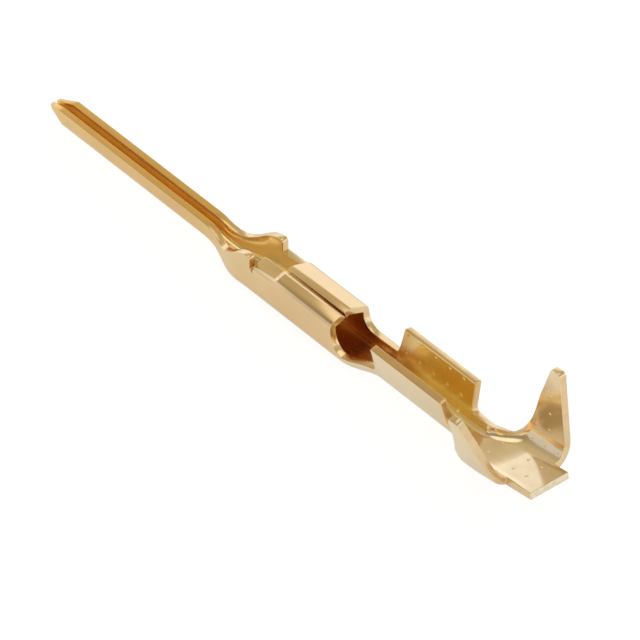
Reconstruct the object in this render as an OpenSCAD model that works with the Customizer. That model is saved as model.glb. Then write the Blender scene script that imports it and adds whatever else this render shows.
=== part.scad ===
// Crimp pin contact: one strip of plated sheet, folded along its length into a slotted pin,
// a flared shoulder with two ears, a closed box with a gabled roof, an open conductor barrel,
// an open insulation barrel with two tall wings, and the stub of the carrier strip.
//
// The contact lies along X with the pin's tip at the origin, and its open side faces +Z.
// The near side is -Y and the far side is +Y, and the pin's axis is at Y = 0, Z = 0.

/* [Sheet] */
// Thickness of the sheet
sheet_t = 0.2; // [0.16:0.01:0.22]

/* [Pin] */
// Width of the pin over its two rails
pin_w = 0.64; // [0.62:0.01:0.8]
// Height of the pin from its underside to its rails
pin_h = 0.58; // [0.5:0.01:0.8]
// Length of the pin from its tip to the shoulder
pin_len = 6.6; // [4:0.1:10]
// Outer radius of the pin's lower bends
pin_bend_r = 0.29; // [0.25:0.01:0.3]
// Length of the tapered tip
tip_len = 0.62; // [0.3:0.02:1]
// Width of the tip's blunt end
tip_w = 0.32; // [0.28:0.02:0.5]
// Height of the tip's blunt end
tip_h = 0.24; // [0.2:0.02:0.4]
// Outer radius of the bends at the tip's end
tip_bend_r = 0.14; // [0.13:0.01:0.14]
// Thickness of the coined sheet at the tip's end
tip_t = 0.12; // [0.06:0.01:0.13]

/* [Shoulder] */
// Length of the shoulder, from the pin to the ears' rear edges
shoulder_len = 2.33; // [2:0.05:3.5]
// Length over which the underside drops from the pin to the box
drop_len = 1.4; // [0.8:0.05:1.8]
// Distance by which the widening trails the drop
flare_lag = 0.35; // [0:0.05:0.5]
// Length of the ears' rising edges
ear_rise_len = 1.5; // [0.8:0.05:1.8]
// Outward lean of the ears, in degrees
ear_lean = 0; // [-5:1:5]
// Height of the ears above the pin's axis
ear_top = 0.7; // [0.62:0.01:1]
// Radius of the ears' rear top corners
ear_corner_r = 0.1; // [0.05:0.01:0.2]

/* [Window] */
// Length of the open stretch between the ears and the box
window_len = 0.95; // [0.6:0.01:1.5]
// Length of the slit between the near ear and the folded lip
slit_len = 0.1; // [0.05:0.01:0.2]
// Width of the folded lip on the near wall
lip_w = 0.3; // [0.15:0.01:0.35]
// Depth of the folded lip below the box's roof
lip_drop = 0.1; // [0:0.01:0.15]
// Length of the step between the folded lip and the box's roof
joggle_len = 0.12; // [0.05:0.01:0.2]

/* [Box] */
// Width of the box
box_w = 1.27; // [1.15:0.01:1.6]
// Depth of the box's underside below the pin's axis
box_drop = 0.58; // [0.5:0.01:0.8]
// Height of the roof's eaves above the pin's axis
box_eaves = 0.6; // [0.5:0.01:0.7]
// Length of the box
box_len = 2.2; // [1.5:0.05:4]
// Outer radius of the box's lower bends
box_bend_r = 0.42; // [0.3:0.02:0.5]
// Outer radius of the eaves
eaves_r = 0.24; // [0.23:0.01:0.3]
// Slope of each side of the roof, in degrees
roof_pitch = 18; // [8:1:24]
// Outer radius of the ridge
ridge_r = 0.25; // [0.2:0.01:0.3]
// Distance of the seam from the ridge
seam_shift = 0.13; // [0.1:0.01:0.18]
// Gap between the two edges at the seam
seam_gap = 0.02; // [0.01:0.01:0.05]
// Length of the box's floor behind the roof before it narrows into the web
box_tail = 0.35; // [0:0.05:0.6]
// Length of the concave sweep from the box's walls down to the web
box_sweep = 0.45; // [0.2:0.05:0.8]

/* [Conductor barrel] */
// Length of the tapered web between the box and the conductor wings
web_len = 1.63; // [1.3:0.02:2.5]
// Height of the web's near wall over its underside
web_h_near = 0.38; // [0.35:0.01:0.6]
// Height of the web's far wall over its underside
web_h_far = 0.54; // [0.35:0.01:0.6]
// Length of the conductor wings at their tops
wire_len = 2.62; // [2:0.01:4]
// Width of the conductor barrel at its bends
wire_w = 0.9; // [0.82:0.02:1.1]
// Outer radius of the conductor barrel's bends
wire_bend_r = 0.4; // [0.3:0.01:0.4]
// Depth of the conductor barrel's underside below the pin's axis
wire_drop = 0.36; // [0.2:0.01:0.5]
// Length of each conductor wing, round its bend and up to its top
wire_wing = 1.37; // [1.1:0.01:1.6]
// Outward lean of the near conductor wing, in degrees
wire_lean_near = 17; // [0:1:25]
// Outward lean of the far conductor wing, in degrees
wire_lean_far = 8; // [0:1:25]
// Length of the concave sweep up to the conductor wings
wire_front_len = 0.16; // [0.1:0.01:0.4]
// Height of the wings' straight front edges above that sweep
wire_front_edge = 0.08; // [0.04:0.01:0.2]
// Radius of the fillets behind the conductor wings
wire_rear_r = 0.15; // [0.05:0.01:0.2]

/* [Insulation barrel] */
// Length of the neck between the conductor wings and the near insulation wing
neck_len = 0.65; // [0.5:0.02:1.2]
// Height of the neck's walls over its underside
neck_h = 0.43; // [0.42:0.01:0.6]
// Height by which the neck's floor steps up
neck_rise = 0.06; // [0:0.01:0.15]
// Length of that step
neck_rise_len = 0.6; // [0.3:0.05:0.8]
// Length of each side, round its bend and up to its edge, where the insulation wings begin
valley_side = 0.46; // [0.4:0.01:0.7]
// Width of the insulation barrel at its bends
ins_w = 2.19; // [1.9:0.01:2.3]
// Outer radius of the insulation barrel's bends
ins_bend_r = 0.67; // [0.6:0.01:0.7]
// Length of each insulation wing at its root
ins_len = 1.62; // [1.46:0.02:2.5]
// Length of each insulation wing, round its bend and up to its top
ins_wing = 2.83; // [2:0.01:3.2]
// Length of the wings' sloping front edges
ins_front_len = 1.3; // [0.8:0.05:1.4]
// Length of the concave foot of the wings' front edges
ins_foot_len = 0.24; // [0.1:0.02:0.6]
// Radius of the wings' rear top corners
ins_corner_r = 0.12; // [0.05:0.01:0.2]
// Distance by which the far wing stands behind the near wing
ins_stagger = 0.44; // [0.3:0.02:1]
// Outward lean of the near insulation wing, in degrees
ins_lean_near = 24; // [0:1:35]
// Outward lean of the far insulation wing, in degrees
ins_lean_far = 0; // [0:1:35]
// Length over which each wall spreads from the neck to the barrel
spread_len = 0.95; // [0.5:0.05:1]
// Upward bend of the insulation barrel's floor, in degrees
rear_pitch = 8; // [0:1:15]
// Length over which the floor bends upwards
rear_bend_len = 0.8; // [0.6:0.05:1.2]

/* [Carrier stub] */
// Length of the stub behind the far insulation wing
stub_len = 0.43; // [0.2:0.02:1]
// Width of the stub
stub_w = 1.2; // [1.16:0.02:1.4]

/* [Hidden] */

// Stretches of a side of the section, outwards from the middle of the floor, and the steps along each.
// The foot is the first part of the lower bend. An open wall runs straight on through the eaves.
STRETCHES = ["floor", "foot", "bend", "wall", "eaves", "roof", "ridge", "lip"];
STEPS = [1, 3, 7, 2, 4, 2, 3, 1];
// Straight wall that is left above a bend where the sheet's edge is low, and the turn over which it grows.
EDGE_WALL = 0.05;
TURN_BLEND = 20;
// Steps round a sweep, a rounded corner, and along a blend.
SWEEP_STEPS = 5;
CORNER_STEPS = 4;
BLEND_STEPS = 12;

function sum(v, n) = n == 0 ? 0 : v[n - 1] + sum(v, n - 1);
function smooth(f) = f * f * (3 - 2 * f);
function mix(a, b, f) = a + (b - a) * f;
function soft_min(a, b, k) = let (d = max(0, k - abs(a - b))) min(a, b) - d * d / (4 * k);
function ramp(x, x0, x1) = smooth(min(1, max(0, (x - x0) / (x1 - x0))));

// Steps of a side up to the end of the named stretch, and of a whole side.
function steps_to(name) = sum(STEPS, search([name], STRETCHES)[0] + 1);
SIDE_STEPS = sum(STEPS, len(STEPS));

// Places along X.
x_window = pin_len + shoulder_len;
x_box = x_window + window_len;
x_web = x_box + box_len;
x_wire = x_web + web_len;
x_neck = x_wire + wire_len;
x_ins = x_neck + neck_len;
x_near_rear = x_ins + ins_len;
x_far_rear = x_near_rear + ins_stagger;
x_end = x_far_rear + stub_len;

// Length along the middle of the sheet of a bend with the given outer radius.
function bend_len(r_out, angle, t = sheet_t) = (r_out - t / 2) * angle * PI / 180;

// A side of the section: the lengths of its stretches, and the turns along them.
function open_side(half_w, r_out, lean, wall, upper, t = sheet_t) =
    let (turn = (90 - lean) / 2, bend = bend_len(r_out, turn, t))
    [[half_w - r_out, bend, bend, wall, upper, 0, 0, 0], [0, turn, turn, 0, 0, 0, 0, 0]];

// Length of a leaning wall that starts at a bend and reaches the given height over the underside.
function wall_for(h, r_out, lean) = (h - r_out * (1 - sin(lean))) / cos(lean);

// A section: underside height, pitch and thickness, then the near side and the far side.
function section(under, pitch, t, near, far) = [under, pitch, t, near, far];

// A station: its place, its section, and the last stretches on the two sides behind it.
function station(x, s, near, far) = [x, s, near, far];

// Tip and pin.
tip_wall = (tip_h - tip_bend_r) / 2;
tip_side = open_side(tip_w / 2, tip_bend_r, 0, tip_wall, tip_wall, tip_t);
tip_section = section(-tip_h / 2, 0, tip_t, tip_side, tip_side);

// Box: the near flange reaches the seam, the far flange turns over the ridge.
eaves_turn = 90 - roof_pitch;
box_wall = box_drop + box_eaves - box_bend_r - eaves_r;
box_floor = box_w / 2 - box_bend_r;
box_bend = bend_len(box_bend_r, 45);
eaves_bend = bend_len(eaves_r, eaves_turn);
roof_run = box_w / 2 - eaves_r + (eaves_r - sheet_t / 2) * sin(roof_pitch);
ridge_bend = bend_len(ridge_r, 2 * roof_pitch);
ridge_half = (ridge_r - sheet_t / 2) * sin(roof_pitch);
near_flap = (roof_run - seam_shift - seam_gap) / cos(roof_pitch) - lip_w;
far_roof = (roof_run - ridge_half) / cos(roof_pitch);
far_lip = (seam_shift - ridge_half) / cos(roof_pitch);
function flanged_side(wall, roof, ridge, lip, ridge_turn) =
    [
        [box_floor, box_bend, box_bend, wall, eaves_bend, roof, ridge, lip],
        [0, 45, 45, 0, eaves_turn, 0, ridge_turn, 0]
    ];
box_near = flanged_side(box_wall, lip_w, near_flap, 0, 0);
box_far = flanged_side(box_wall, far_roof, ridge_bend, far_lip, 2 * roof_pitch);
lip_near = flanged_side(box_wall - lip_drop, lip_w, near_flap, 0, 0);
box_section = section(-box_drop, 0, sheet_t, box_near, box_far);
lip_section = section(-box_drop, 0, sheet_t, lip_near, box_far);

// Drop of a rounded corner whose edge is at x_edge.
function corner_drop(x, x_edge, r) =
    let (d = min(r, max(0, x - x_edge + r)))
    r - sqrt(r * r - d * d);

// Shoulder: the underside drops, the walls spread, and the ears rise.
x_flare = pin_len + flare_lag;
x_ear_top = x_window - ear_corner_r;
pin_wall = (pin_h - pin_bend_r) / 2;
function shoulder_side(x) =
    let (
        wide = ramp(x, x_flare, x_flare + drop_len),
        rise = ramp(x, x_ear_top - ear_rise_len, x_ear_top),
        r = mix(pin_bend_r, box_bend_r, rise),
        h = mix(pin_h, ear_top + box_drop, rise) - corner_drop(x, x_window, ear_corner_r),
        lean = ear_lean * rise,
        wall = mix(pin_wall, box_wall, rise)
    )
    open_side(mix(pin_w, box_w, wide) / 2, r, lean, wall, wall_for(h, r, lean) - wall);
function shoulder_section(x) =
    let (side = shoulder_side(x))
    section(mix(-pin_h / 2, -box_drop, ramp(x, pin_len, pin_len + drop_len)), 0, sheet_t, side, side);

// Rear half: the box's trough narrows into the conductor barrel and spreads into the insulation barrel,
// and the floor steps up at the neck and bends up from the far insulation wing on.
x_sweep = x_wire - wire_front_len;
x_pitch = x_ins + ins_stagger;
function narrow_at(x) = ramp(x, x_web + box_tail, x_wire);
function rear_pitch_at(x) = rear_pitch * min(1, max(0, (x - x_pitch) / rear_bend_len));
function rear_under(x) =
    let (d = max(0, x - x_pitch), bent = min(d, rear_bend_len))
    mix(-box_drop, -wire_drop, narrow_at(x))
    + neck_rise * ramp(x, x_ins - neck_rise_len / 2, x_ins + neck_rise_len / 2)
    + bent * tan(rear_pitch_at(x) / 2) + (d - bent) * tan(rear_pitch);

// Share of a concave quarter round that is left at a distance d from its upright end.
function hollow(d, length) = let (f = min(1, max(0, d / length))) 1 - sqrt(1 - (1 - f) * (1 - f));
// Height over the underside of the web's and the neck's walls.
function trough_h(x, web_h) =
    x < x_wire ?
        mix(web_h, box_wall + box_bend_r, hollow(x - x_web, box_sweep)) :
        neck_h + wire_rear_r * hollow(x - x_neck, wire_rear_r);
// Share of the rise to the conductor wings, which ends at their front edges.
function wire_rise(x) = x > x_wire ? 0 : pow(max(0, (x - x_sweep) / wire_front_len), 2);
// Share of the rise to an insulation wing at a distance d behind its front: a foot, a slope, a level top.
function ins_rise(d) =
    let (f = min(1, max(0, d / ins_front_len)), foot = ins_foot_len / ins_front_len)
    f < foot ? f * f / (foot * (2 - foot)) : (2 * f - foot) / (2 - foot);

// Turn of the part of the barrel's bend that runs on into the stub and is flattened there.
stub_turn = (stub_w - ins_w + 2 * ins_bend_r) / (2 * ins_bend_r - sheet_t) * 180 / PI;
function rear_side(x, x_wing, web_h, wire_lean, ins_lean) =
    let (
        narrow = narrow_at(x),
        spread = ramp(x, x_wing - spread_len / 2, x_wing + spread_len / 2),
        flat = ramp(x, x_wing + ins_len, x_end),
        trough_lean = wire_lean * narrow,
        trough_r = mix(box_bend_r, wire_bend_r, narrow),
        half_w = mix(mix(box_w, wire_w, narrow), ins_w, spread) / 2,
        r = mix(trough_r, ins_bend_r, spread),
        lean = mix(trough_lean, ins_lean, spread),
        trough = bend_len(trough_r, 90 - trough_lean) + wall_for(trough_h(x, web_h), trough_r, trough_lean),
        low = mix(trough, valley_side, ramp(x, x_neck, x_wing)),
        side = low + (wire_wing - wire_front_edge - low) * wire_rise(x)
            + (ins_wing - low) * ins_rise(x - x_wing)
            - corner_drop(min(x, x_wing + ins_len), x_wing + ins_len, ins_corner_r),
        turn = soft_min(90 - lean, (side - EDGE_WALL) / bend_len(r, 1), TURN_BLEND),
        foot = mix(turn / 2, stub_turn, spread)
    )
    [
        [half_w - r, bend_len(r, foot), bend_len(r, turn - foot),
            side - bend_len(r, turn), wire_wing - side, 0, 0, 0],
        [0, foot * (1 - flat), turn - foot, 0, 0, 0, 0, 0]
    ];
function rear_section(x) =
    section(rear_under(x), rear_pitch_at(x), sheet_t,
        rear_side(x, x_ins, web_h_near, wire_lean_near, ins_lean_near),
        rear_side(x, x_ins + ins_stagger, web_h_far, wire_lean_far, ins_lean_far));

// Places of the stations in each stretch, with the last place of a stretch left to the next one.
function even(x0, x1, n) = [for (i = [0:n - 1]) mix(x0, x1, i / n)];
function closing(x, r) = [for (i = [0:CORNER_STEPS - 1]) x - r * (1 - sin(90 * i / CORNER_STEPS))];
function opening(x, r) = [for (i = [1:SWEEP_STEPS - 1]) x + r * (1 - cos(90 * i / SWEEP_STEPS))];
shoulder_places = concat(even(pin_len, x_ear_top, BLEND_STEPS), closing(x_window, ear_corner_r));
web_places = concat(
    opening(x_web, box_sweep),
    even(x_web + box_sweep, x_sweep, SWEEP_STEPS),
    even(x_sweep, x_wire, SWEEP_STEPS)
);
near_places = concat(
    opening(x_neck, wire_rear_r),
    even(x_neck + wire_rear_r, x_near_rear - ins_corner_r, 3 * BLEND_STEPS),
    closing(x_near_rear, ins_corner_r)
);
far_places = concat(
    even(x_near_rear, x_far_rear - ins_corner_r, BLEND_STEPS),
    closing(x_far_rear, ins_corner_r)
);

// Stations from the tip to the stub.
function rear_station(x, near, far) = station(x, rear_section(x), near, far);
stations = concat(
    [station(0, tip_section, "eaves", "eaves")],
    [station(tip_len, shoulder_section(pin_len), "eaves", "eaves")],
    [for (x = shoulder_places) station(x, shoulder_section(x), "eaves", "eaves")],
    [station(x_window, shoulder_section(x_window), "wall", "wall")],
    [station(x_window + slit_len, lip_section, "roof", "wall")],
    [station(x_box - joggle_len, lip_section, "roof", "wall")],
    [station(x_box, box_section, "ridge", "lip")],
    [station(x_web, box_section, "wall", "wall")],
    [for (x = web_places) rear_station(x, "wall", "wall")],
    [rear_station(x_wire, "eaves", "eaves")],
    [rear_station(x_neck, "wall", "wall")],
    [for (x = near_places) rear_station(x, "wall", "wall")],
    [for (x = far_places) rear_station(x, "foot", "wall")],
    [for (x = even(x_far_rear, x_end, CORNER_STEPS)) rear_station(x, "foot", "foot")],
    [rear_station(x_end, "foot", "foot")]
);

// Points and headings along one side from the given stretch on, each as [across, up, heading].
function side_points(side, k, at) =
    k == len(STEPS) ? [at] :
    concat(
        [for (i = [0:STEPS[k] - 1]) along(at, side[0][k], side[1][k], i / STEPS[k])],
        side_points(side, k + 1, along(at, side[0][k], side[1][k], 1))
    );

// Place after a share f of a stretch that starts at the given place.
function along(at, length, turn, f) =
    turn == 0 ?
        [at[0] + f * length * cos(at[2]), at[1] + f * length * sin(at[2]), at[2]] :
        let (r = length / (turn * PI / 180), h = at[2] + f * turn)
        [at[0] + r * (sin(h) - sin(at[2])), at[1] + r * (cos(at[2]) - cos(h)), h];

// Points of one skin of the sheet at a station, from near to far: skin is 1 outside and -1 inside.
function skin_points(x, s, skin) =
    let (
        t = s[2],
        near = side_points(s[3], 0, [0, 0, 0]),
        far = side_points(s[4], 0, [0, 0, 0]),
        middle = concat([for (i = [SIDE_STEPS:-1:1]) [-near[i][0], near[i][1], -near[i][2]]], far)
    )
    [for (p = middle)
        let (
            y = p[0] + skin * t / 2 * sin(p[2]),
            up = p[1] + t / 2 - skin * t / 2 * cos(p[2])
        )
        [x - up * sin(s[1]), y, s[0] + up * cos(s[1])]];

function quad(a, b, c, d) = [[a, b, c], [a, c, d]];

// One closed solid: two skins over the cells that exist, and the sheared edges all round them.
module folded_sheet(st) {
    across = 2 * SIDE_STEPS + 1;
    bays = len(st) - 1;
    points = [for (s = st) each concat(skin_points(s[0], s[1], 1), skin_points(s[0], s[1], -1))];
    function outer(k, i) = k * 2 * across + i;
    function inner(k, i) = outer(k, i) + across;
    function first(k) = SIDE_STEPS - steps_to(st[k][2]);
    function past(k) = SIDE_STEPS + steps_to(st[k][3]);
    function exists(k, i) = k >= 0 && k < bays && i >= first(k) && i < past(k);
    skins = [for (k = [0:bays - 1], i = [first(k):past(k) - 1]) each concat(
        quad(outer(k, i), outer(k + 1, i), outer(k + 1, i + 1), outer(k, i + 1)),
        quad(inner(k, i), inner(k, i + 1), inner(k + 1, i + 1), inner(k + 1, i)))];
    rims = [for (k = [0:bays - 1]) let (a = first(k), b = past(k)) each concat(
        quad(inner(k, a), inner(k + 1, a), outer(k + 1, a), outer(k, a)),
        quad(outer(k, b), outer(k + 1, b), inner(k + 1, b), inner(k, b)))];
    ends = [for (k = [0:bays], i = [0:across - 2]) each
        exists(k, i) && !exists(k - 1, i) ?
            quad(outer(k, i), outer(k, i + 1), inner(k, i + 1), inner(k, i)) :
        exists(k - 1, i) && !exists(k, i) ?
            quad(inner(k, i), inner(k, i + 1), outer(k, i + 1), outer(k, i)) : []];
    polyhedron(points, concat(skins, rims, ends), convexity = 8);
}

// The whole contact.
module contact() {
    color("goldenrod") folded_sheet(stations);
}

contact();
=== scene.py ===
"""Looks of a crimp pin contact: plated sheet with rounded sheared edges, pressed dimples and a studio floor."""
import logging
import math
from collections import Counter, defaultdict
from collections.abc import Iterable, Iterator
from dataclasses import dataclass, field
from enum import IntEnum

import bpy
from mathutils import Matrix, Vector
from mathutils.bvhtree import BVHTree
from mathutils.interpolate import poly_3d_calc


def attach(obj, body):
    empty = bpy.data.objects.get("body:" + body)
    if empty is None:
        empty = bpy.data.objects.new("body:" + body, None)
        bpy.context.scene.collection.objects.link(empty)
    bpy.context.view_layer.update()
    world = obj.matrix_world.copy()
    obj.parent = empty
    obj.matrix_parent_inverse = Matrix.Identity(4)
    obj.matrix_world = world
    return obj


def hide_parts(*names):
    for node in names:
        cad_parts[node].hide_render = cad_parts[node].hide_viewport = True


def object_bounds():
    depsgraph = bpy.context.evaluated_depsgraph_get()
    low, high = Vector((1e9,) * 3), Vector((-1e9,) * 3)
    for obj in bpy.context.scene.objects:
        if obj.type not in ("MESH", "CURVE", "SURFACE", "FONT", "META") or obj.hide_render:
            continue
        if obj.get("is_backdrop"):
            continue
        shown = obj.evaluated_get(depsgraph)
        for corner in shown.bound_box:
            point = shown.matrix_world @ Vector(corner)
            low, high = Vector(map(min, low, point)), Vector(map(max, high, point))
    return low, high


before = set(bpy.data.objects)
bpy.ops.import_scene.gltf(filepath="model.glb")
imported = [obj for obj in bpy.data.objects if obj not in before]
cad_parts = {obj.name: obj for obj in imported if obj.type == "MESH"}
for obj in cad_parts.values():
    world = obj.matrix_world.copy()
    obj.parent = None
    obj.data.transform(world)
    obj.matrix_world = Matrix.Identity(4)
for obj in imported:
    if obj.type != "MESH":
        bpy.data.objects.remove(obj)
CAD_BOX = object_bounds()

MM = 0.001
LENGTH = CAD_BOX[1].x
NODE = "contact"
BODY = "root"
MAX_BOUNCES = 24
GLOSSY_BOUNCES = 16
RANGE_SOCKETS = ("From Min", "From Max", "To Min", "To Max")
ROUNDING = "bevel_weight_edge"

Point = tuple[float, float, float]
Tint = tuple[float, float, float]
Stop = tuple[float, Tint, float]

log = logging.getLogger("contact")


class Face(IntEnum):
    """Kinds of face on the folded sheet, numbered as its material slots."""

    OUTSIDE = 0
    INSIDE = 1
    PRESSED = 2
    SHEARED = 3
    BROKEN = 4


def map_range(
        tree: bpy.types.NodeTree, value: bpy.types.NodeSocket, limits: Iterable[float]) -> bpy.types.NodeSocket:
    """Maps a value from one range onto another.

    Args:
        tree: the nodes of the material or the world.
        value: the value.
        limits: the two ends of the first range, then the two ends of the second.

    Returns:
        The mapped value.
    """
    node = tree.nodes.new("ShaderNodeMapRange")
    for name, limit in zip(RANGE_SOCKETS, limits):
        node.inputs[name].default_value = limit
    tree.links.new(value, node.inputs["Value"])
    return node.outputs["Result"]


def colour_ramp(
        tree: bpy.types.NodeTree, value: bpy.types.NodeSocket,
        stops: Iterable[tuple[float, tuple[float, float, float, float]]]) -> bpy.types.Node:
    """Runs through a row of colours.

    Args:
        tree: the nodes of the material or the world.
        value: the place on the row, from 0 to 1.
        stops: the colours with their alpha, each with its place.

    Returns:
        The node.
    """
    node = tree.nodes.new("ShaderNodeValToRGB")
    marks = node.color_ramp.elements
    marks.remove(marks[1])
    for count, (place, colour) in enumerate(stops):
        mark = marks.new(place) if count else marks[0]
        mark.position = place
        mark.color = colour
    tree.links.new(value, node.inputs["Fac"])
    return node


def scaled(
        tree: bpy.types.NodeTree, colour: bpy.types.NodeSocket, level: bpy.types.NodeSocket) -> bpy.types.NodeSocket:
    """Scales a colour.

    Args:
        tree: the nodes of the material or the world.
        colour: the colour.
        level: the factor.

    Returns:
        The scaled colour.
    """
    node = tree.nodes.new("ShaderNodeVectorMath")
    node.operation = "SCALE"
    tree.links.new(colour, node.inputs[0])
    tree.links.new(level, node.inputs["Scale"])
    return node.outputs["Vector"]


def noise(
        tree: bpy.types.NodeTree, place: bpy.types.NodeSocket, scale: float, detail: float) -> bpy.types.NodeSocket:
    """Makes a noise pattern.

    Args:
        tree: the nodes of the material.
        place: the coordinates.
        scale: scale of the pattern.
        detail: count of finer layers in it.

    Returns:
        The value of the pattern.
    """
    node = tree.nodes.new("ShaderNodeTexNoise")
    node.inputs["Scale"].default_value = scale
    node.inputs["Detail"].default_value = detail
    tree.links.new(place, node.inputs["Vector"])
    return node.outputs["Fac"]


@dataclass(frozen=True)
class Plating:
    """A metal finish on one kind of face.

    Args:
        name: name of the material.
        stops: colours along X, linear, each with its place in millimetres and its roughness; besides the metal's
            colour, some of them hold painted shade.
        cloud: share by which the tint wanders over the face.
        cloud_scale: clouds per metre.
        grain: depth of the fine surface marks, in metres.
        grain_scale: marks per metre along X, Y and Z.
        cloud_detail: count of finer layers in the clouds.
        cloud_range: values of the noise between which the clouds run.
        rough_share: factors of the roughness at those two values.
        grain_detail: count of finer layers in the marks.
        grain_strength: strength of the marks.
    """

    name: str
    stops: tuple[Stop, ...]
    cloud: float
    cloud_scale: float
    grain: float
    grain_scale: Point
    cloud_detail: float = 3.0
    cloud_range: tuple[float, float] = (0.3, 0.7)
    rough_share: tuple[float, float] = (1.25, 0.85)
    grain_detail: float = 4.0
    grain_strength: float = 0.5

    def material(self) -> bpy.types.Material:
        """Builds the node material.

        Returns:
            The material, with its pattern on Object coordinates.
        """
        made = bpy.data.materials.new(self.name)
        made.use_nodes = True
        tree = made.node_tree
        metal = tree.nodes["Principled BSDF"]
        metal.inputs["Metallic"].default_value = 1.0
        place = tree.nodes.new("ShaderNodeTexCoord").outputs["Object"]
        clouds = noise(tree, place, self.cloud_scale, self.cloud_detail)
        along = self.along(tree, place)

        share = map_range(tree, clouds, (*self.cloud_range, 1.0 - self.cloud, 1.0))
        tree.links.new(scaled(tree, along.outputs["Color"], share), metal.inputs["Base Color"])

        rough = tree.nodes.new("ShaderNodeMath")
        rough.operation = "MULTIPLY"
        tree.links.new(along.outputs["Alpha"], rough.inputs[0])
        tree.links.new(map_range(tree, clouds, (*self.cloud_range, *self.rough_share)), rough.inputs[1])
        tree.links.new(rough.outputs["Value"], metal.inputs["Roughness"])

        tree.links.new(self.relief(tree, place), metal.inputs["Normal"])
        return made

    def along(self, tree: bpy.types.NodeTree, place: bpy.types.NodeSocket) -> bpy.types.Node:
        """Runs the colours along the contact, with the roughness as their alpha.

        Args:
            tree: the nodes of the material.
            place: the coordinates.

        Returns:
            The node of the colours.
        """
        split = tree.nodes.new("ShaderNodeSeparateXYZ")
        tree.links.new(place, split.inputs["Vector"])
        share = map_range(tree, split.outputs["X"], (0.0, LENGTH, 0.0, 1.0))
        return colour_ramp(tree, share, [(x * MM / LENGTH, (*tint, rough)) for x, tint, rough in self.stops])

    def relief(self, tree: bpy.types.NodeTree, place: bpy.types.NodeSocket) -> bpy.types.NodeSocket:
        """Raises the fine surface marks.

        Args:
            tree: the nodes of the material.
            place: the coordinates.

        Returns:
            The normal of the marked surface.
        """
        turn = tree.nodes.new("ShaderNodeMapping")
        turn.inputs["Scale"].default_value = self.grain_scale
        tree.links.new(place, turn.inputs["Vector"])
        bump = tree.nodes.new("ShaderNodeBump")
        bump.inputs["Distance"].default_value = self.grain
        bump.inputs["Strength"].default_value = self.grain_strength
        tree.links.new(noise(tree, turn.outputs["Vector"], 1.0, self.grain_detail), bump.inputs["Height"])
        return bump.outputs["Normal"]


# Tints of the barrels' inside and dimples along X: the darker, more orange tint at the front of the conductor
# barrel, from 13.6 to 14.3 mm, is painted shade.
BARREL_GOLD_AND_PAINTED_SHADE: tuple[Stop, ...] = (
    (13.6, (0.78, 0.50, 0.18), 0.22), (13.95, (0.84, 0.58, 0.24), 0.22), (14.3, (1.00, 0.81, 0.40), 0.22),
    (16.2, (1.00, 0.81, 0.40), 0.22), (16.9, (0.96, 0.79, 0.54), 0.13))
FINISHES: dict[Face, Plating] = {
    Face.OUTSIDE: Plating(
        "gold_outside",
        (
            (0.0, (0.88, 0.62, 0.30), 0.16), (6.4, (0.87, 0.61, 0.30), 0.16), (7.6, (0.92, 0.71, 0.40), 0.15),
            (10.0, (0.885, 0.66, 0.38), 0.15), (12.0, (0.885, 0.66, 0.38), 0.15), (12.8, (0.94, 0.81, 0.58), 0.16),
            (15.5, (0.93, 0.79, 0.55), 0.16), (16.8, (0.91, 0.75, 0.48), 0.16), (19.0, (0.93, 0.77, 0.50), 0.16),
        ),
        cloud=0.06, cloud_scale=900.0, grain=1e-6, grain_scale=(3e4, 6e4, 6e4)),
    # Inside faces: the darker tint inside the closed box, from 10 to 12 mm, is painted shade, and the barrels' tints
    # add theirs at the conductor barrel's front.
    Face.INSIDE: Plating(
        "gold_inside_painted_shade",
        (
            (0.0, (0.95, 0.67, 0.29), 0.18), (6.6, (0.95, 0.67, 0.29), 0.18), (7.6, (1.00, 0.84, 0.54), 0.16),
            (9.2, (1.00, 0.84, 0.54), 0.16), (10.0, (0.79, 0.54, 0.29), 0.18), (12.0, (0.79, 0.54, 0.29), 0.18),
            (12.7, (0.94, 0.76, 0.46), 0.16), *BARREL_GOLD_AND_PAINTED_SHADE,
        ),
        cloud=0.10, cloud_scale=1800.0, grain=8e-7, grain_scale=(3e4, 6e4, 6e4)),
    # Dimples take the barrels' tints, with the painted shade at the conductor barrel's front.
    Face.PRESSED: Plating(
        "gold_pressed_painted_shade", BARREL_GOLD_AND_PAINTED_SHADE,
        cloud=0.05, cloud_scale=1800.0, grain=4e-7, grain_scale=(6e4, 6e4, 6e4)),
    Face.SHEARED: Plating(
        "gold_sheared",
        (
            (0.0, (0.88, 0.55, 0.17), 0.22), (6.5, (0.88, 0.55, 0.17), 0.22), (7.6, (0.91, 0.70, 0.42), 0.20),
            (12.2, (0.91, 0.70, 0.42), 0.20), (13.6, (0.84, 0.58, 0.30), 0.20), (16.3, (0.84, 0.58, 0.30), 0.20),
            (16.9, (0.91, 0.70, 0.43), 0.22),
        ),
        cloud=0.14, cloud_scale=3000.0, grain=1.6e-6, grain_scale=(2e4, 6e4, 6e4)),
    Face.BROKEN: Plating(
        "bare_alloy", ((0.0, (1.00, 0.91, 0.70), 0.40),),
        cloud=0.20, cloud_scale=9000.0, grain=6e-6, grain_scale=(6e4, 6e4, 2e4)),
}


def select_only(piece: bpy.types.Object) -> None:
    """Selects one object and makes it the active one.

    Args:
        piece: the object.
    """
    bpy.ops.object.select_all(action="DESELECT")
    piece.select_set(True)
    bpy.context.view_layer.objects.active = piece


def faces_beside(mesh: bpy.types.Mesh) -> dict[tuple[int, int], list[int]]:
    """Lists the faces beside each edge.

    Args:
        mesh: the mesh.

    Returns:
        The numbers of the faces, by the edge's two vertices.
    """
    beside: dict[tuple[int, int], list[int]] = defaultdict(list)
    for polygon in mesh.polygons:
        for edge in polygon.edge_keys:
            beside[edge].append(polygon.index)
    return beside


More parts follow.
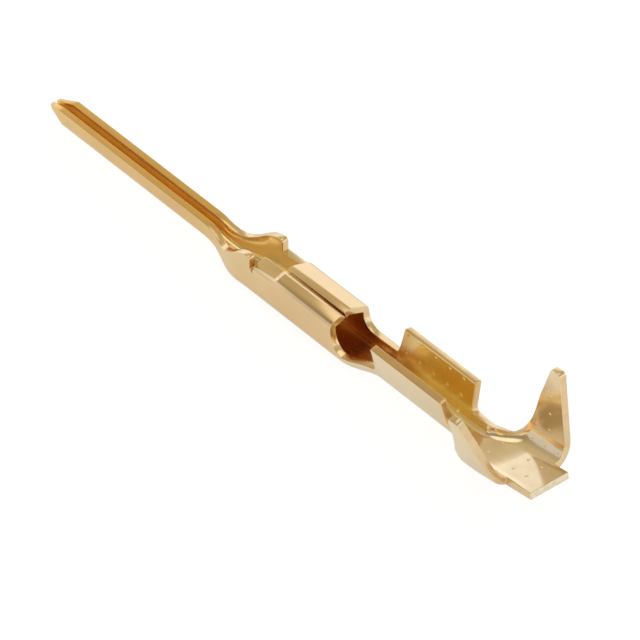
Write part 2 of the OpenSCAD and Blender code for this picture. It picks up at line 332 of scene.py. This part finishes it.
def sheared_faces(piece: bpy.types.Object) -> BVHTree:
    """Gathers the sheared faces of the sheet, to measure distances from them.

    Args:
        piece: the sheet.

    Returns:
        The tree of those faces.
    """
    mesh = piece.data
    faces = [list(polygon.vertices) for polygon in mesh.polygons if polygon.material_index >= Face.SHEARED]
    return BVHTree.FromPolygons([vertex.co for vertex in mesh.vertices], faces)


@dataclass
class DimpleGrid:
    """Pressed dimples on the inside of one barrel, in rows along the sheet.

    Args:
        first: place of the first column along X.
        pitch: distance of the columns.
        columns: count of columns.
        rows: distances of the rows from the middle of the floor, measured along the sheet.
        eye: height of the line from which the inside is seen.
        radius: radius of the punch.
        depth: depth of a dimple.
        margin: least distance from the sheet's edge.
        segments: count of the punch's faces around.
        rings: count of its rings of faces.
        turn: angle between two looks along the inside, in degrees.
        looks: count of those looks.
        sight: greatest distance of a look.
    """

    first: float
    pitch: float
    columns: int
    rows: tuple[float, ...]
    eye: float
    radius: float = 0.06 * MM
    depth: float = 0.018 * MM
    margin: float = 0.10 * MM
    segments: int = 20
    rings: int = 14
    turn: float = 0.5
    looks: int = 330
    sight: float = 4.0 * MM

    def trace(self, piece: bpy.types.Object, x: float, side: float) -> Iterator[tuple[float, Vector, Vector]]:
        """Follows the inside of the sheet upwards from the middle of the floor.

        Args:
            piece: the sheet.
            x: place along X.
            side: -1 for the near side, 1 for the far side.

        Yields:
            The distance along the sheet, the point and its normal.
        """
        start = Vector((x, 0.0, self.eye))
        last, run = None, 0.0
        for look in range(self.looks):
            angle = math.radians(look * self.turn)
            way = Vector((0.0, side * math.sin(angle), -math.cos(angle)))
            hit, point, normal, index = piece.ray_cast(start, way, distance=self.sight)
            if not hit or piece.data.polygons[index].material_index != Face.INSIDE:
                return
            run += (point - last).length if last else 0.0
            last = point
            yield run, point, normal

    def centres(self, piece: bpy.types.Object) -> Iterator[Vector]:
        """Finds the centres of the punch for all the dimples that fit on the sheet.

        Args:
            piece: the sheet.

        Yields:
            The centres.
        """
        edges = sheared_faces(piece)
        for column in range(self.columns):
            x = self.first + column * self.pitch
            for side in (-1.0, 1.0):
                path = list(self.trace(piece, x, side))
                for row in self.rows:
                    reach = row * side
                    if reach < 0.0 or not path or reach > path[-1][0]:
                        continue
                    _, point, normal = min(path, key=lambda stop: abs(stop[0] - reach))
                    if edges.find_nearest(point, self.margin)[0] is None:
                        yield point + normal * (self.radius - self.depth)


@dataclass(frozen=True)
class Box:
    """A box that holds some edges of the sheet.

    Args:
        low: its lowest corner, in millimetres.
        high: its highest corner, in millimetres.
    """

    low: Point
    high: Point

    def holds(self, place: Vector) -> bool:
        """Tells whether a point lies in the box."""
        return all(low * MM <= at <= high * MM for low, at, high in zip(self.low, place, self.high))


@dataclass(frozen=True)
class RolledEdge:
    """A straight edge that the tools left with a larger round than the others.

    Args:
        box: the box that holds the edge.
        radius: radius of the round.
        segments: count of flats over the round.
        profile: fullness of the round, 0.5 for an arc.
    """

    box: Box
    radius: float
    segments: int
    profile: float


@dataclass
class FoldedSheet:
    """The whole contact: one plated sheet.

    Args:
        sheet: thickness of the sheet.
        merge_gap: distance up to which the node's points are merged.
        quad_bend: greatest angle between two triangles that become one quad, in degrees.
        probe_start: depth under a face at which the look for metal behind it starts.
        probe_reach: greatest distance of that look.
        skin_share: least and greatest depth of metal behind a skin, as shares of the thickness.
        end_length: length of the stub's end on which a broken face may lie.
        end_tilt: least X part of a broken face's normal.
        flat_angle: angle up to which mesh lines are merged everywhere, in degrees.
        entry_angle: that angle at the entry of the conductor barrel, in degrees.
        entry_reach: distance from that entry up to which it holds.
        edge_round: radius left on the sheared edges.
        round_segments: count of flats over it.
        rounded: least and greatest angle of the edges that are rounded, in degrees.
        axis_height: height of the line that the folded walls face.
        sharp: cosine of the angle from which an edge counts as sheared.
        smooth_angle: angle up to which the shading runs over an edge, in degrees.
        alike: cosine of the angle up to which a corner's shading is matched to the plain sheet's.
        name: name of the piece.
        barrel: the conductor barrel's ends along X.
        cuts: count of parts that its long faces are divided into.
        on_cut: distance under which a point counts as lying on a cut.
        on_edge: distance under which a point counts as lying on a sheared edge.
        clear_width: width kept free of mesh lines along the sheared edges.
        clear_reach: distance from a sheared edge up to which the lines are drawn back.
        rolled: the edges with larger rounds: the near side of the seam and the top of the far wing.
        step: the box that holds the step before the near roof.
        step_top: place along X behind which its upper crease lies.
        step_slide: distance by which that crease is drawn back.
        seam: the box that holds the creases on the near side of the seam.
        dimples: the dimples inside the barrels.
    """

    sheet: float = 0.2 * MM
    merge_gap: float = 0.006 * MM
    quad_bend: float = 40.0
    probe_start: float = 0.02 * MM
    probe_reach: float = 1.0 * MM
    skin_share: tuple[float, float] = (0.45, 1.25)
    end_length: float = 0.3 * MM
    end_tilt: float = 0.9
    flat_angle: float = 0.2
    entry_angle: float = 1.2
    entry_reach: float = 0.1 * MM
    edge_round: float = 0.02 * MM
    round_segments: int = 3
    rounded: tuple[float, float] = (60.0, 125.0)
    axis_height: float = 0.15 * MM
    sharp: float = math.cos(math.radians(50.0))
    smooth_angle: float = 32.0
    alike: float = math.cos(math.radians(12.0))
    name: str = "folded_sheet"
    barrel: tuple[float, float] = (13.71 * MM, 16.33 * MM)
    cuts: int = 26
    on_cut: float = 1e-7
    on_edge: float = 1e-9
    clear_width: float = 0.035 * MM
    clear_reach: float = 0.12 * MM
    rolled: tuple[RolledEdge, ...] = (
        RolledEdge(Box((9.80, -0.20, 0.66), (12.20, -0.17, 0.70)), 0.12 * MM, 2, 0.453),
        RolledEdge(Box((13.70, 0.36, 0.93), (16.34, 0.39, 0.95)), 0.055 * MM, 5, 0.5),
    )
    step: Box = Box((9.72, -0.56, 0.46), (9.96, -0.17, 0.72))
    step_top: float = 9.86 * MM
    step_slide: float = 0.06 * MM
    seam: Box = Box((9.90, -0.34, 0.50), (12.06, -0.16, 0.71))
    dimples: tuple[DimpleGrid, ...] = field(default_factory=lambda: (
        DimpleGrid(
            first=13.87 * MM, pitch=0.515 * MM, columns=5, eye=0.35 * MM,
            rows=tuple(row * MM for row in (-1.16, -0.69, -0.23, 0.23, 0.69, 1.16))),
        DimpleGrid(
            first=17.04 * MM, pitch=0.455 * MM, columns=5, eye=0.9 * MM,
            rows=tuple(row * MM for row in (-2.2, -1.7, -1.2, -0.7, -0.2, 0.27, 0.8, 1.3, 1.8, 2.35))),
    ))

    def build(self) -> bpy.types.Object:
        """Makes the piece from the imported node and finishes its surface.

        Returns:
            The finished piece, riding on its body.
        """
        piece = self.copy_node()
        self.sort_faces(piece)
        self.merge_flats(piece)
        self.divide(piece)
        self.clear_edges(piece)
        self.ease_step(piece)
        plain = self.plain_sheet(piece)
        self.press_dimples(piece)
        self.roll_edges(piece)
        self.round_edges(piece)
        self.shade(piece)
        self.match_shading(piece, plain)
        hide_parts(NODE)
        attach(piece, BODY)
        return piece

    def copy_node(self) -> bpy.types.Object:
        """Copies the node's mesh into a new object, closed and in quads.

        Returns:
            The new object.
        """
        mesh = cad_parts[NODE].data.copy()
        mesh.materials.clear()
        piece = bpy.data.objects.new(self.name, mesh)
        bpy.context.scene.collection.objects.link(piece)
        select_only(piece)
        bpy.ops.mesh.customdata_custom_splitnormals_clear()
        bpy.ops.object.mode_set(mode="EDIT")
        bpy.ops.mesh.select_all(action="SELECT")
        bpy.ops.mesh.remove_doubles(threshold=self.merge_gap)
        bpy.ops.mesh.tris_convert_to_quads(face_threshold=math.radians(self.quad_bend), shape_threshold=math.pi)
        bpy.ops.object.mode_set(mode="OBJECT")
        return piece

    def sort_faces(self, piece: bpy.types.Object) -> None:
        """Gives each face the finish of its kind.

        Args:
            piece: the sheet, before its edges are rounded.
        """
        polygons = piece.data.polygons
        for face in Face:
            piece.data.materials.append(FINISHES[face].material())
        for region in self.regions(piece):
            votes: Counter[Face] = Counter()
            for index in region:
                votes[self.kind(piece, polygons[index])] += polygons[index].area
            for index in region:
                polygons[index].material_index = votes.most_common(1)[0][0]

    def regions(self, piece: bpy.types.Object) -> Iterator[list[int]]:
        """Finds the regions of the surface that lie between its sharp edges.

        Args:
            piece: the sheet.

        Yields:
            The numbers of the faces of each region.
        """
        polygons = piece.data.polygons
        beside = faces_beside(piece.data)
        left = set(range(len(polygons)))
        while left:
            region = [left.pop()]
            for index in region:
                for edge in polygons[index].edge_keys:
                    for other in beside[edge]:
                        smooth = polygons[index].normal.dot(polygons[other].normal) > self.sharp
                        if smooth and other in left:
                            left.remove(other)
                            region.append(other)
            yield region

    def kind(self, piece: bpy.types.Object, polygon: bpy.types.MeshPolygon) -> Face:
        """Tells a skin of the sheet from its sheared edge by the metal behind the face.

        Args:
            piece: the sheet.
            polygon: one of its faces.

        Returns:
            The kind of the face.
        """
        centre, normal = polygon.center, polygon.normal
        start = centre - normal * self.probe_start
        hit, place, _, _ = piece.ray_cast(start, -normal, distance=self.probe_reach)
        depth = (place - centre).length if hit else math.inf
        thinnest, thickest = (share * self.sheet for share in self.skin_share)
        if not thinnest <= depth <= thickest:
            broken = normal.x > self.end_tilt and centre.x > LENGTH - self.end_length
            return Face.BROKEN if broken else Face.SHEARED
        inward = Vector((0.0, -centre.y, self.axis_height - centre.z))
        return Face.INSIDE if normal.dot(inward) > 0.0 else Face.OUTSIDE

    def merge_flats(self, piece: bpy.types.Object) -> None:
        """Merges the mesh lines out of the flat parts of the sheet, which leaves its rounded corners clear.

        Args:
            piece: the sheet.
        """
        entry = self.barrel[0]
        self.dissolve(piece, -math.inf, math.inf, self.flat_angle)
        self.dissolve(piece, entry - self.entry_reach, entry + self.entry_reach, self.entry_angle)

    def dissolve(self, piece: bpy.types.Object, low: float, high: float, angle: float) -> None:
        """Merges the mesh lines of the faces that start between two places along X.

        Args:
            piece: the sheet.
            low: the first place.
            high: the second place.
            angle: greatest angle of a line that is merged, in degrees.
        """
        mesh = piece.data
        select_only(piece)
        bpy.ops.object.mode_set(mode="EDIT")
        bpy.ops.mesh.select_mode(type="FACE")
        bpy.ops.mesh.select_all(action="DESELECT")
        bpy.ops.object.mode_set(mode="OBJECT")
        for polygon in mesh.polygons:
            polygon.select = low < min(mesh.vertices[index].co.x for index in polygon.vertices) < high
        bpy.ops.object.mode_set(mode="EDIT")
        bpy.ops.mesh.dissolve_limited(angle_limit=math.radians(angle), delimit={"MATERIAL"})
        bpy.ops.mesh.select_mode(type="VERT")
        bpy.ops.object.mode_set(mode="OBJECT")

    def divide(self, piece: bpy.types.Object) -> None:
        """Divides the long faces of the conductor barrel across, so that each carries one dimple at most.

        Args:
            piece: the sheet.
        """
        select_only(piece)
        bpy.ops.object.mode_set(mode="EDIT")
        for cut in range(1, self.cuts):
            bpy.ops.mesh.select_all(action="SELECT")
            x = self.barrel[0] + (self.barrel[1] - self.barrel[0]) * cut / self.cuts
            bpy.ops.mesh.bisect(plane_co=(x, 0.0, 0.0), plane_no=(1.0, 0.0, 0.0), threshold=self.on_cut)
        bpy.ops.object.mode_set(mode="OBJECT")

    def clear_edges(self, piece: bpy.types.Object) -> None:
        """Draws the mesh lines next to the sheared edges back along the sheet, so that the rounding has room.

        Args:
            piece: the sheet.
        """
        edges = sheared_faces(piece)
        for vertex in piece.data.vertices:
            place, _, _, distance = edges.find_nearest(vertex.co, self.clear_reach)
            if place is None or distance < self.on_edge:
                continue
            share = self.clear_width / distance + 1.0 - self.clear_width / self.clear_reach
            vertex.co = place + (vertex.co - place) * share

    def ease_step(self, piece: bpy.types.Object) -> None:
        """Draws the upper crease of the step before the near roof back, which makes the step less steep.

        Args:
            piece: the sheet.
        """
        for vertex in piece.data.vertices:
            if self.step.holds(vertex.co) and vertex.co.x > self.step_top:
                vertex.co.x += self.step_slide

    def press_dimples(self, piece: bpy.types.Object) -> None:
        """Cuts the dimples into the inside of the barrels.

        Args:
            piece: the sheet.
        """
        punches = []
        for grid in self.dimples:
            for centre in list(grid.centres(piece)):
                bpy.ops.mesh.primitive_uv_sphere_add(
                    segments=grid.segments, ring_count=grid.rings, radius=grid.radius,
                    location=centre, calc_uvs=False)
                punches.append(bpy.context.active_object)
        log.info("%d dimples", len(punches))
        bpy.ops.object.select_all(action="DESELECT")
        for punch in punches:
            punch.select_set(True)
        bpy.context.view_layer.objects.active = punches[0]
        bpy.ops.object.join()
        punch = bpy.context.active_object
        bpy.ops.object.transform_apply(location=True, rotation=True, scale=True)
        for material in piece.data.materials:
            punch.data.materials.append(material)
        for polygon in punch.data.polygons:
            polygon.material_index = Face.PRESSED
        select_only(piece)
        cut = piece.modifiers.new("dimples", "BOOLEAN")
        cut.operation = "DIFFERENCE"
        cut.object = punch
        cut.solver = "EXACT"
        cut.material_mode = "INDEX"
        bpy.ops.object.modifier_apply(modifier=cut.name)
        bpy.data.meshes.remove(punch.data)

    def roll_edges(self, piece: bpy.types.Object) -> None:
        """Gives the rolled edges their larger rounds.

        Args:
            piece: the sheet.
        """
        mesh = piece.data
        for rolled in self.rolled:
            select_only(piece)
            bpy.ops.object.mode_set(mode="EDIT")
            bpy.ops.mesh.select_mode(type="EDGE")
            bpy.ops.mesh.select_all(action="DESELECT")
            bpy.ops.mesh.edges_select_sharp(sharpness=math.radians(self.rounded[0]))
            bpy.ops.object.mode_set(mode="OBJECT")
            kept = [edge.index for edge in mesh.edges
                    if edge.select and all(rolled.box.holds(mesh.vertices[index].co) for index in edge.vertices)]
            log.info("%d rolled edges", len(kept))
            bpy.ops.object.mode_set(mode="EDIT")
            bpy.ops.mesh.select_all(action="DESELECT")
            bpy.ops.object.mode_set(mode="OBJECT")
            for index in kept:
                mesh.edges[index].select = True
            bpy.ops.object.mode_set(mode="EDIT")
            bpy.ops.mesh.bevel(
                offset=rolled.radius, segments=rolled.segments, profile=rolled.profile, affect="EDGES")
            bpy.ops.mesh.select_mode(type="VERT")
            bpy.ops.object.mode_set(mode="OBJECT")

    def round_edges(self, piece: bpy.types.Object) -> None:
        """Rounds the sheared edges, apart from the narrow bottom of the slit.

        Args:
            piece: the sheet.
        """
        mesh = piece.data
        beside = faces_beside(mesh)
        least, most = (math.cos(math.radians(angle)) for angle in self.rounded)
        weights = mesh.attributes.new(ROUNDING, "FLOAT", "EDGE")
        for edge in mesh.edges:
            one, other = (mesh.polygons[index].normal for index in beside[edge.key])
            weights.data[edge.index].value = float(most < one.dot(other) < least)
        select_only(piece)
        bevel = piece.modifiers.new("edges", "BEVEL")
        bevel.width = self.edge_round
        bevel.segments = self.round_segments
        bevel.limit_method = "WEIGHT"
        bevel.use_clamp_overlap = False
        bevel.loop_slide = False
        bpy.ops.object.modifier_apply(modifier=bevel.name)
        mesh.attributes.remove(mesh.attributes[ROUNDING])

    def shade(self, piece: bpy.types.Object) -> None:
        """Smooths the shading over the bends and the rounded edges, and keeps the flats flat.

        Args:
            piece: the sheet.
        """
        select_only(piece)
        mesh = piece.data
        beside = faces_beside(mesh)
        bpy.ops.object.shade_smooth_by_angle(angle=math.radians(self.smooth_angle))
        for edge in mesh.edges:
            ends = [mesh.vertices[index].co for index in edge.vertices]
            crease = any(all(map(box.holds, ends)) for box in (self.step, self.seam))
            rim = {mesh.polygons[index].material_index for index in beside[edge.key]} == {Face.INSIDE, Face.PRESSED}
            if crease or rim:
                edge.use_edge_sharp = True
        weighted = piece.modifiers.new("shading", "WEIGHTED_NORMAL")
        weighted.keep_sharp = True
        bpy.ops.object.modifier_apply(modifier=weighted.name)

    def plain_sheet(self, piece: bpy.types.Object) -> bpy.types.Object:
        """Copies the sheet before its dimples are pressed, as a model for the shading.

        Args:
            piece: the sheet.

        Returns:
            The copy, shaded.
        """
        plain = piece.copy()
        plain.data = piece.data.copy()
        bpy.context.scene.collection.objects.link(plain)
        self.shade(plain)
        return plain

    def match_shading(self, piece: bpy.types.Object, plain: bpy.types.Object) -> None:
        """Gives the inside of the barrels, between the dimples, the shading that it has without them.

        Args:
            piece: the finished sheet.
            plain: the sheet without dimples, which is deleted.
        """
        mesh, model = piece.data, plain.data
        skin = [polygon for polygon in model.polygons if polygon.material_index == Face.INSIDE]
        points = [vertex.co for vertex in model.vertices]
        tree = BVHTree.FromPolygons(points, [list(face.vertices) for face in skin])
        shading = [corner.vector.copy() for corner in mesh.corner_normals]
        for polygon in mesh.polygons:
            if polygon.material_index != Face.INSIDE or polygon.center.x < self.barrel[0]:
                continue
            for corner in polygon.loop_indices:
                place, _, index, _ = tree.find_nearest(mesh.vertices[mesh.loops[corner].vertex_index].co)
                face = skin[index]
                weights = poly_3d_calc([points[number] for number in face.vertices], place)
                smooth = Vector()
                for loop, weight in zip(face.loop_indices, weights):
                    smooth += model.corner_normals[loop].vector * weight
                smooth.normalize()
                if smooth.dot(shading[corner]) > self.alike:
                    shading[corner] = smooth
        mesh.normals_split_custom_set(shading)
        bpy.data.meshes.remove(model)


@dataclass
class Studio:
    """The floor, the light and the camera.

    Args:
        azimuth: direction of the view, in degrees.
        elevation: height of the view, in degrees.
        distance: distance from the camera to its aim.
        aim: the point that the camera looks at.
        lens: focal length, in millimetres.
        sensor: width of the camera's sensor, in millimetres.
        tent: colours of the light tent, each with the sine of its elevation.
        sides: two places across the tent, and its level at each.
        glow: kinds of ray to which the floor glows, each with the strength of the glow and its share.
        floor_size: width of the floor.
        floor_gap: distance of the floor under the contact.
        clip: nearest and farthest distance that the camera sees.
        lamp_size: width of the lamp.
        lamp_power: power of the lamp, in watts.
        lamp_height: height of the lamp.
    """

    azimuth: float = 50.7
    elevation: float = 39.5
    distance: float = 105.0 * MM
    aim: Point = (10.937 * MM, 0.0, -0.348 * MM)
    lens: float = 238.85
    sensor: float = 36.0
    tent: tuple[tuple[float, Tint], ...] = (
        (0.46, (1.10, 1.11, 1.12)), (0.56, (0.62, 0.54, 0.38)), (0.85, (0.55, 0.47, 0.30)))
    sides: tuple[float, float, float, float] = (-0.55, -0.05, 0.62, 1.0)
    glow: tuple[tuple[str, float, float], ...] = (("Is Camera Ray", 1.2, 0.75), ("Is Glossy Ray", 2.42, 0.15))
    floor_size: float = 2.0
    floor_gap: float = 0.005 * MM
    clip: tuple[float, float] = (0.001, 10.0)
    lamp_size: float = 0.10
    lamp_power: float = 0.02
    lamp_height: float = 0.12

    def build(self) -> None:
        """Makes the whole studio."""
        self.camera()
        self.floor()
        self.world()
        self.lamps()

    def camera(self) -> None:
        """Sets the camera at the photograph's angle."""
        around, up = math.radians(self.azimuth), math.radians(self.elevation)
        back = Vector((math.sin(around) * math.cos(up), -math.cos(around) * math.cos(up), math.sin(up)))
        data = bpy.data.cameras.new("camera")
        data.lens = self.lens
        data.sensor_width = self.sensor
        data.clip_start, data.clip_end = self.clip
        camera = bpy.data.objects.new("camera", data)
        camera.location = Vector(self.aim) + back * self.distance
        camera.rotation_euler = (-back).to_track_quat("-Z", "Y").to_euler()
        bpy.context.scene.collection.objects.link(camera)
        bpy.context.scene.camera = camera

    def floor(self) -> None:
        """Lays the pale floor under the contact."""
        bpy.ops.object.select_all(action="DESELECT")
        place = (self.aim[0], 0.0, CAD_BOX[0].z - self.floor_gap)
        bpy.ops.mesh.primitive_plane_add(size=self.floor_size, location=place)
        floor = bpy.context.active_object
        floor.name = "floor"
        floor.data.materials.append(self.floor_material())
        floor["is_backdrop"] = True

    def floor_material(self) -> bpy.types.Material:
        """Makes the floor white to the eye and in reflections, with a soft shadow.

        Returns:
            The floor's material.
        """
        made = bpy.data.materials.new("pale_floor")
        made.use_nodes = True
        nodes, links = made.node_tree.nodes, made.node_tree.links
        nodes.remove(nodes["Principled BSDF"])
        surface = nodes.new("ShaderNodeBsdfDiffuse").outputs["BSDF"]
        path = nodes.new("ShaderNodeLightPath")
        for ray, strength, share in self.glow:
            glow = nodes.new("ShaderNodeEmission")
            glow.inputs["Strength"].default_value = strength
            seen = nodes.new("ShaderNodeMath")
            seen.operation = "MULTIPLY"
            seen.inputs[1].default_value = share
            links.new(path.outputs[ray], seen.inputs[0])
            mix = nodes.new("ShaderNodeMixShader")
            links.new(seen.outputs["Value"], mix.inputs["Fac"])
            links.new(surface, mix.inputs[1])
            links.new(glow.outputs["Emission"], mix.inputs[2])
            surface = mix.outputs["Shader"]
        links.new(surface, nodes["Material Output"].inputs["Surface"])
        return made

    def world(self) -> None:
        """Sets a tent that is white at the horizon and dimmer overhead and on the near side."""
        world = bpy.data.worlds.new("tent")
        bpy.context.scene.world = world
        world.use_nodes = True
        tree = world.node_tree
        nodes, links = tree.nodes, tree.links
        place = nodes.new("ShaderNodeTexCoord")
        split = nodes.new("ShaderNodeSeparateXYZ")
        links.new(place.outputs["Generated"], split.inputs["Vector"])
        ramp = colour_ramp(tree, split.outputs["Z"], [(height, (*colour, 1.0)) for height, colour in self.tent])
        ramp.color_ramp.interpolation = "EASE"
        shaded = scaled(tree, ramp.outputs["Color"], map_range(tree, split.outputs["Y"], self.sides))
        path = nodes.new("ShaderNodeLightPath")
        seen = nodes.new("ShaderNodeMix")
        seen.data_type = "RGBA"
        seen.inputs["B"].default_value = (1.0, 1.0, 1.0, 1.0)
        links.new(path.outputs["Is Camera Ray"], seen.inputs["Factor"])
        links.new(shaded, seen.inputs["A"])
        links.new(seen.outputs["Result"], nodes["Background"].inputs["Color"])
        nodes["Background"].inputs["Strength"].default_value = 1.0

    def lamps(self) -> None:
        """Hangs one broad soft lamp over the contact."""
        data = bpy.data.lights.new("overhead", "AREA")
        data.shape = "RECTANGLE"
        data.size = data.size_y = self.lamp_size
        data.energy = self.lamp_power
        lamp = bpy.data.objects.new("overhead", data)
        lamp.location = (self.aim[0], 0.0, self.lamp_height)
        bpy.context.scene.collection.objects.link(lamp)


def settings() -> None:
    """Sets the colour transform and the count of reflections between the folded walls."""
    scene = bpy.context.scene
    scene.view_settings.view_transform = "Standard"
    scene.cycles.max_bounces = MAX_BOUNCES
    scene.cycles.glossy_bounces = GLOSSY_BOUNCES


def write_size() -> None:
    """Gathers the box of the solids and the box of the dressed part; nothing is written."""
    boxes = {"cad": CAD_BOX, "visual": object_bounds()}
    {name: [list(corner) for corner in box] for name, box in boxes.items()}


def main() -> None:
    """Builds the contact and the studio."""
    logging.basicConfig(level=logging.INFO)
    settings()
    piece = FoldedSheet().build()
    log.info("%s: %d faces", piece.name, len(piece.data.polygons))
    Studio().build()
    write_size()


if __name__ == "__main__":
    main()
